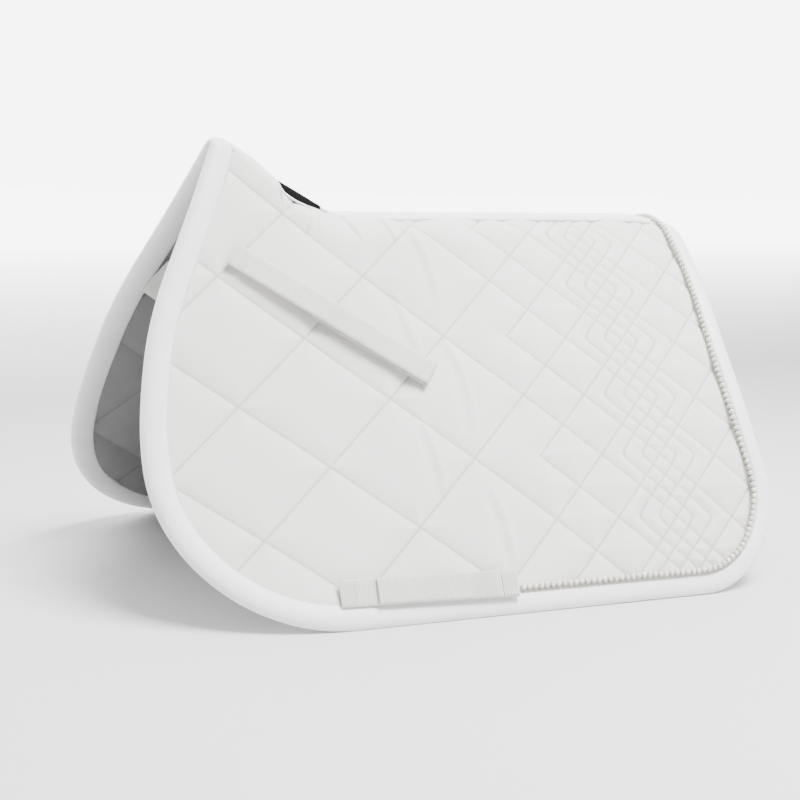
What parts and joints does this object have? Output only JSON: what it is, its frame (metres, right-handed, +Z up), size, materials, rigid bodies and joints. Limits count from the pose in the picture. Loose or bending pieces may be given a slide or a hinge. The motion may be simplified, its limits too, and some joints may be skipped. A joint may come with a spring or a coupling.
{
  "type": "saddle pad",
  "caption": "Quilted cloth that lies between a saddle and the back of a horse, with bound edges, a mesh insert at the withers and straps that hold it to the saddle.",
  "frame": {"origin": "on the ground, under the middle of the pad as it stands on its two hems", "axes": "+X from the withers to the tail along the spine, -Y the left side of the horse, +Z up"},
  "size_m": [0.6419, 0.5596, 0.4253],
  "materials": {
    "face_cloth": "soft matt cotton, quilted",
    "lining_cloth": "matt cotton, quilted",
    "wadding": "soft polyester wadding",
    "binding_satin": "satin",
    "spine_tape": "satin",
    "stretch_mesh": "matt stretch mesh",
    "bead_tape": "matt ribbon",
    "pearl": "pearl lustre",
    "webbing": "ribbed webbing",
    "loop_tape": "brushed loop pile",
    "hook_tape": "fine plastic hooks"
  },
  "bodies": {
    "spine": {"crown_bead_tape": "bead_tape", "crown_beads": "pearl", "crown_binding_front": "binding_satin", "crown_binding_rear": "binding_satin", "crown_filling_left": "wadding", "crown_filling_right": "wadding", "crown_lining_left": "lining_cloth", "crown_lining_right": "lining_cloth", "crown_outer_left": "face_cloth", "crown_outer_right": "face_cloth", "inner_spine_tape": "spine_tape", "spine_tape": "spine_tape", "wither_insert": "stretch_mesh", "wither_tape": "spine_tape"},
    "left_flap": {"bead_tape_left": "bead_tape", "beads_left": "pearl", "billet_backing_left": "lining_cloth", "billet_tab_left": "webbing", "flap_binding_left": "binding_satin", "flap_filling_left": "wadding", "flap_lining_left": "lining_cloth", "flap_outer_left": "face_cloth", "girth_band_left": "webbing", "girth_loop_tape_left": "loop_tape", "girth_tab_left": "webbing"},
    "left_billet_strap": {"billet_loop_tape_left": "loop_tape", "billet_strap_left": "webbing"},
    "left_billet_tail": {"billet_hook_tape_left": "hook_tape", "billet_tail_left": "webbing"},
    "left_girth_strap": {"girth_hook_tape_left": "hook_tape", "girth_strap_left": "webbing"},
    "right_flap": {"bead_tape_right": "bead_tape", "beads_right": "pearl", "billet_backing_right": "lining_cloth", "billet_tab_right": "webbing", "flap_binding_right": "binding_satin", "flap_filling_right": "wadding", "flap_lining_right": "lining_cloth", "flap_outer_right": "face_cloth", "girth_band_right": "webbing", "girth_loop_tape_right": "loop_tape", "girth_tab_right": "webbing"},
    "right_billet_strap": {"billet_loop_tape_right": "loop_tape", "billet_strap_right": "webbing"},
    "right_billet_tail": {"billet_hook_tape_right": "hook_tape", "billet_tail_right": "webbing"},
    "right_girth_strap": {"girth_hook_tape_right": "hook_tape", "girth_strap_right": "webbing"}
  },
  "joints": [
    {"name": "left_flap_fold", "type": "hinge", "parent": "spine", "child": "left_flap", "pos_m": [0, -0.053, 0.33], "axis": [-1, 0, 0], "range_deg": [-30, 55]},
    {"name": "left_billet_lift", "type": "hinge", "parent": "left_flap", "child": "left_billet_strap", "pos_m": [-0.20055, -0.06141, 0.30884], "axis": [-0.6136, -0.3426, -0.7115], "range_deg": [0, 100]},
    {"name": "left_billet_tail_fold", "type": "hinge", "parent": "left_billet_strap", "child": "left_billet_tail", "pos_m": [-0.04163, -0.12941, 0.20453], "axis": [-0.6136, -0.3426, -0.7115], "range_deg": [0, 30]},
    {"name": "left_girth_peel", "type": "hinge", "parent": "left_flap", "child": "left_girth_strap", "pos_m": [-0.02291, -0.24854, 0.02935], "axis": [0.089, 0.5428, 0.8352], "range_deg": [0, 120]},
    {"name": "right_flap_fold", "type": "hinge", "parent": "spine", "child": "right_flap", "pos_m": [0, 0.053, 0.33], "axis": [1, 0, 0], "range_deg": [-30, 55]},
    {"name": "right_billet_lift", "type": "hinge", "parent": "right_flap", "child": "right_billet_strap", "pos_m": [-0.20055, 0.06141, 0.30884], "axis": [0.6136, -0.3426, 0.7115], "range_deg": [0, 100]},
    {"name": "right_billet_tail_fold", "type": "hinge", "parent": "right_billet_strap", "child": "right_billet_tail", "pos_m": [-0.04163, 0.12941, 0.20453], "axis": [0.6136, -0.3426, 0.7115], "range_deg": [0, 30]},
    {"name": "right_girth_peel", "type": "hinge", "parent": "right_flap", "child": "right_girth_strap", "pos_m": [-0.02291, 0.24854, 0.02935], "axis": [-0.089, 0.5428, -0.8352], "range_deg": [0, 120]}
  ],
  "couplings": [
    {"joint": "left_billet_tail_fold", "follows": "left_billet_lift", "ratio": 0.3},
    {"joint": "right_billet_tail_fold", "follows": "right_billet_lift", "ratio": 0.3}
  ]
}
